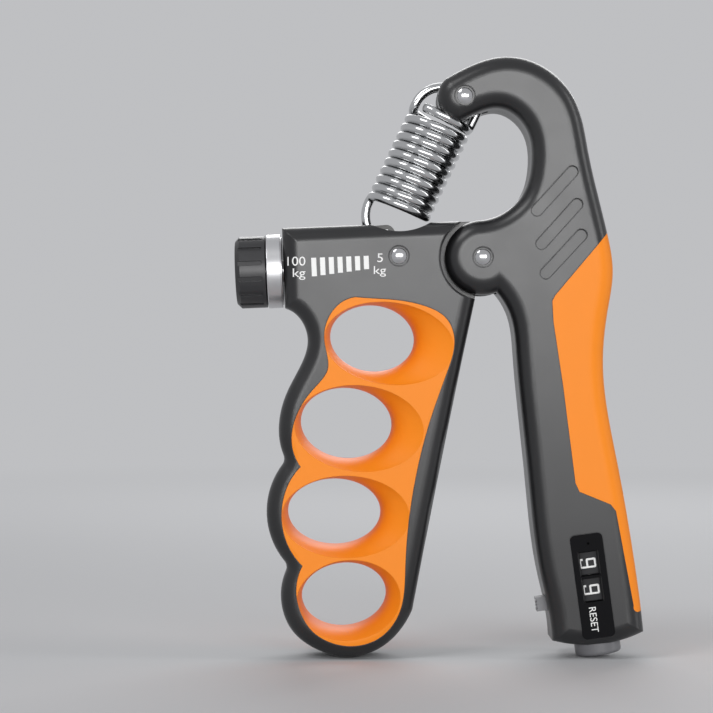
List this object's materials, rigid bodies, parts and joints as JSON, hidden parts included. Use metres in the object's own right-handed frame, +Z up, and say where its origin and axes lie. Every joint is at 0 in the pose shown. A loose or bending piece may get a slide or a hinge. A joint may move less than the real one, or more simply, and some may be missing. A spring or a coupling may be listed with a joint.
{
  "type": "adjustable hand dynamometer",
  "caption": "Hand grip strengthener: a finger handle with four finger holes and a palm handle on one pivot, with a spring set by a knob, and a squeeze counter.",
  "frame": {"origin": "on the surface under the upright tool, below the middle of its width and thickness", "axes": "+Z up from the handles' free ends to the spring hook, +X from the finger handle to the palm handle, the front with the scale and the counter faces -Y"},
  "size_m": [0.1048, 0.0222, 0.1538],
  "materials": {
    "black_plastic": "satin",
    "orange_rubber": "soft matte",
    "bright_chrome": "bright",
    "polished_steel": "polished",
    "plain_steel": "plain",
    "brass": "machined",
    "plate_black": "gloss",
    "wheel_black": "matte",
    "lever_grey": "satin"
  },
  "bodies": {
    "finger_handle": {"finger_shell_front": "black_plastic", "finger_shell_rear": "black_plastic", "finger_pad": "orange_rubber", "chrome_collar": "bright_chrome", "tail_bush": "brass", "housing_rivet": "polished_steel", "pivot_bush": "brass"},
    "palm_handle": {"palm_shell_front": "black_plastic", "palm_shell_rear": "black_plastic", "palm_grip": "orange_rubber", "pivot_rivet": "polished_steel", "spring_rivet": "polished_steel", "counter_plate": "plate_black", "counter_frame": "plain_steel"},
    "knob": {"adjust_knob": "black_plastic", "lead_screw": "plain_steel", "retaining_ring": "plain_steel"},
    "carriage": {"carriage_nut": "brass", "anchor_pin": "plain_steel"},
    "spring_top": {"spring_upper": "bright_chrome", "spring_bush": "plain_steel"},
    "spring_mid": {"spring_middle": "bright_chrome"},
    "spring_waist": {"spring_waist": "bright_chrome"},
    "spring_end": {"spring_lower": "bright_chrome"},
    "units": {"units_wheel": "wheel_black"},
    "tens": {"tens_wheel": "wheel_black"},
    "lever": {"count_lever": "lever_grey", "lever_spring": "plain_steel"},
    "reset_turn": {"reset_shaft": "plain_steel"},
    "reset_push": {"reset_knob": "black_plastic", "reset_spring": "plain_steel"}
  },
  "joints": [
    {"name": "grip", "type": "hinge", "parent": "finger_handle", "child": "palm_handle", "pos_m": [0.0112, 0, 0.10241], "axis": [0, 1, 0], "range_deg": [0, 19.8], "stiffness_Nm_per_rad": 8, "springref_deg": -8.02},
    {"name": "carriage_slide", "type": "slide", "parent": "finger_handle", "child": "carriage", "axis": [-0.9992, 0, -0.0401], "range_m": [0, 0.01325]},
    {"name": "knob_turn", "type": "hinge", "parent": "finger_handle", "child": "knob", "pos_m": [-0.0401, 0, 0.0992], "axis": [-0.9992, 0, -0.0401], "range_deg": [0, 4771]},
    {"name": "spring_force_swing", "type": "hinge", "parent": "palm_handle", "child": "spring_top", "pos_m": [0.00658, 0, 0.14354], "axis": [0, 1, 0], "range_deg": [0, 12.5], "deforming": ["spring_upper"]},
    {"name": "spring_grip_swing", "type": "hinge", "parent": "spring_top", "child": "spring_mid", "pos_m": [0.00658, 0, 0.14354], "axis": [0, 1, 0], "range_deg": [-5, 0], "deforming": ["spring_middle"]},
    {"name": "spring_grip_stretch", "type": "slide", "parent": "spring_mid", "child": "spring_waist", "axis": [-0.4301, 0, -0.9028], "range_m": [0, 0.009], "deforming": ["spring_waist"]},
    {"name": "spring_force_stretch", "type": "slide", "parent": "spring_waist", "child": "spring_end", "axis": [-0.4301, 0, -0.9028], "range_m": [0, 0.0095], "deforming": ["spring_lower"]},
    {"name": "count_press", "type": "slide", "parent": "palm_handle", "child": "lever", "axis": [0.991, 0, 0.134], "range_m": [0, 0.0024], "stiffness_N_per_m": 150, "springref_m": -0.001, "deforming": ["lever_spring"]},
    {"name": "units_turn", "type": "hinge", "parent": "palm_handle", "child": "units", "pos_m": [0.03912, -0.0021, 0.01782], "axis": [0.134, 0, -0.991], "continuous": true},
    {"name": "tens_turn", "type": "hinge", "parent": "palm_handle", "child": "tens", "pos_m": [0.03822, -0.0021, 0.02451], "axis": [0.134, 0, -0.991], "continuous": true},
    {"name": "reset_turn", "type": "hinge", "parent": "palm_handle", "child": "reset_turn", "pos_m": [0.04101, -0.0021, 0.00385], "axis": [0.134, 0, -0.991], "continuous": true},
    {"name": "reset_push", "type": "slide", "parent": "reset_turn", "child": "reset_push", "axis": [-0.134, 0, 0.991], "range_m": [0, 0.0012], "stiffness_N_per_m": 400, "springref_m": -0.002, "deforming": ["reset_spring"]}
  ],
  "couplings": [
    {"joint": "knob_turn", "follows": "carriage_slide", "rad_per_m": 6283.2},
    {"joint": "spring_force_swing", "follows": "carriage_slide", "rad_per_m": 15.807},
    {"joint": "spring_force_stretch", "follows": "carriage_slide", "ratio": 0.66415},
    {"joint": "spring_grip_swing", "follows": "grip", "ratio": -0.215},
    {"joint": "spring_grip_stretch", "follows": "grip", "m_per_rad": 0.0243},
    {"joint": "tens_turn", "follows": "units_turn", "ratio": 0.1}
  ]
}
